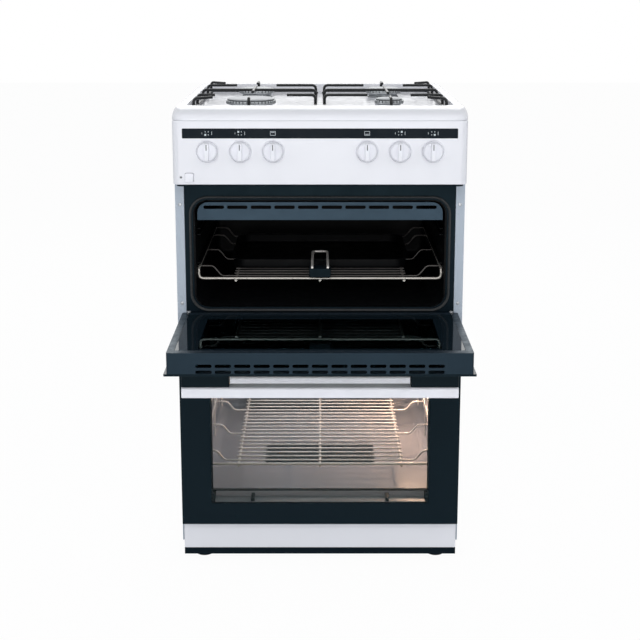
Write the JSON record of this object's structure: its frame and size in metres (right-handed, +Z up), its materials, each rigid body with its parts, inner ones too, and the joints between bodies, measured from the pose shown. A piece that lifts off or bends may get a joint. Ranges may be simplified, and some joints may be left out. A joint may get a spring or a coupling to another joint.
{
  "type": "freestanding gas range",
  "caption": "Freestanding twin-cavity gas range: enamelled body, hob with wire pan supports, knob panel, glazed drop-down oven doors with bar handles, wire shelves and a grill pan.",
  "frame": {"origin": "centre of the footprint on the floor, with the upper oven door open", "axes": "+Z up, -Y out of the front, +X to the right of someone facing the controls"},
  "size_m": [0.55, 0.8374, 0.9093],
  "materials": {
    "white_enamel": "glossy vitreous enamel",
    "zinc_sheet": "spangled zinc-coated sheet",
    "black_enamel": "glossy black enamel",
    "brown_enamel": "grey-brown oven enamel with fine fleck",
    "seal_rubber": "matt woven seal",
    "foot_rubber": "matt",
    "coated_sheet": "satin dark grey coating",
    "steel": "plain satin steel",
    "lamp_glass": "ribbed clear glass over a warm lamp",
    "chrome_wire": "bright plated wire",
    "burner_aluminium": "cast and machined",
    "cap_steel": "satin cap",
    "black_wire": "semi-gloss black enamel",
    "white_plastic": "smooth moulded white",
    "black_plastic": "fine moulded grain",
    "gas_brass": "machined brass",
    "inner_glass": "coated heat-reflecting glass",
    "black_glass": "black-printed glass with a clear window"
  },
  "bodies": {
    "root": {"side_panel_left": "white_enamel", "side_panel_right": "white_enamel", "plinth_panel": "white_enamel", "control_panel": "white_enamel", "worktop": "white_enamel", "rear_panel": "zinc_sheet", "base_plate": "black_enamel", "front_frame": "black_enamel", "top_oven_cavity": "black_enamel", "oven_floor_plate": "black_enamel", "main_oven_cavity": "brown_enamel", "top_oven_seal": "seal_rubber", "main_oven_seal": "seal_rubber", "foot_front_left": "foot_rubber", "foot_front_right": "foot_rubber", "foot_rear_left": "foot_rubber", "foot_rear_right": "foot_rubber", "grill_deflector": "coated_sheet", "top_oven_burner": "coated_sheet", "main_oven_burner": "coated_sheet", "grill_burner": "steel", "top_hinge_arm_left": "steel", "top_hinge_arm_right": "steel", "main_hinge_arm_left": "steel", "main_hinge_arm_right": "steel", "oven_lamp": "lamp_glass", "main_oven_shelf": "chrome_wire", "burner_body_front_left": "burner_aluminium", "burner_body_front_right": "burner_aluminium", "burner_body_rear_left": "burner_aluminium", "burner_body_rear_right": "burner_aluminium", "burner_cap_front_left": "cap_steel", "burner_cap_front_right": "cap_steel", "burner_cap_rear_left": "cap_steel", "burner_cap_rear_right": "cap_steel", "gas_rail": "gas_brass"},
    "top_door": {"top_door_frame": "coated_sheet", "top_door_handle_bar": "white_plastic", "top_door_handle_post_left": "black_plastic", "top_door_handle_post_right": "black_plastic", "top_door_inner_glass": "inner_glass", "top_door_outer_glass": "black_glass"},
    "main_door": {"main_door_frame": "coated_sheet", "main_door_handle_bar": "white_plastic", "main_door_handle_post_left": "black_plastic", "main_door_handle_post_right": "black_plastic", "main_door_inner_glass": "inner_glass", "main_door_outer_glass": "black_glass"},
    "top_shelf": {"top_oven_shelf": "chrome_wire"},
    "grill_tray": {"grill_pan": "black_enamel", "grill_pan_handle": "chrome_wire"},
    "left_support": {"pan_support_left": "black_wire"},
    "right_support": {"pan_support_right": "black_wire"},
    "button": {"ignition_button": "white_plastic"},
    "knob_1_body": {"knob_1": "white_plastic"},
    "knob_2_body": {"knob_2": "white_plastic"},
    "knob_3_body": {"knob_3": "white_plastic"},
    "knob_4_body": {"knob_4": "white_plastic"},
    "knob_5_body": {"knob_5": "white_plastic"},
    "knob_6_body": {"knob_6": "white_plastic"}
  },
  "joints": [
    {"name": "top_door_hinge", "type": "hinge", "parent": "root", "child": "top_door", "pos_m": [0, -0.15625, 0.489], "axis": [-1, 0, 0], "range_deg": [0, 90]},
    {"name": "main_door_hinge", "type": "hinge", "parent": "root", "child": "main_door", "pos_m": [0, -0.17225, 0.108], "axis": [1, 0, 0], "range_deg": [0, 90]},
    {"name": "top_shelf_slide", "type": "slide", "parent": "root", "child": "top_shelf", "axis": [0, 1, 0], "range_m": [-0.22, 0]},
    {"name": "grill_pan_slide", "type": "slide", "parent": "top_shelf", "child": "grill_tray", "axis": [0, 1, 0], "range_m": [-0.12, 0]},
    {"name": "left_support_lift", "type": "slide", "parent": "root", "child": "left_support", "axis": [0, 0, 1], "range_m": [0, 0.06]},
    {"name": "right_support_lift", "type": "slide", "parent": "root", "child": "right_support", "axis": [0, 0, 1], "range_m": [0, 0.06]},
    {"name": "ignition_press", "type": "slide", "parent": "root", "child": "button", "axis": [0, 1, 0], "range_m": [0, 0.003], "stiffness_N_per_m": 300},
    {"name": "knob_1_turn", "type": "hinge", "parent": "root", "child": "knob_1_body", "pos_m": [-0.209, -0.18125, 0.819], "axis": [0, -1, 0], "range_deg": [0, 210]},
    {"name": "knob_2_turn", "type": "hinge", "parent": "root", "child": "knob_2_body", "pos_m": [-0.148, -0.18125, 0.819], "axis": [0, -1, 0], "range_deg": [0, 210]},
    {"name": "knob_3_turn", "type": "hinge", "parent": "root", "child": "knob_3_body", "pos_m": [-0.087, -0.18125, 0.819], "axis": [0, -1, 0], "range_deg": [0, 280]},
    {"name": "knob_4_turn", "type": "hinge", "parent": "root", "child": "knob_4_body", "pos_m": [0.087, -0.18125, 0.819], "axis": [0, -1, 0], "range_deg": [0, 280]},
    {"name": "knob_5_turn", "type": "hinge", "parent": "root", "child": "knob_5_body", "pos_m": [0.148, -0.18125, 0.819], "axis": [0, -1, 0], "range_deg": [0, 210]},
    {"name": "knob_6_turn", "type": "hinge", "parent": "root", "child": "knob_6_body", "pos_m": [0.209, -0.18125, 0.819], "axis": [0, -1, 0], "range_deg": [0, 210]}
  ]
}
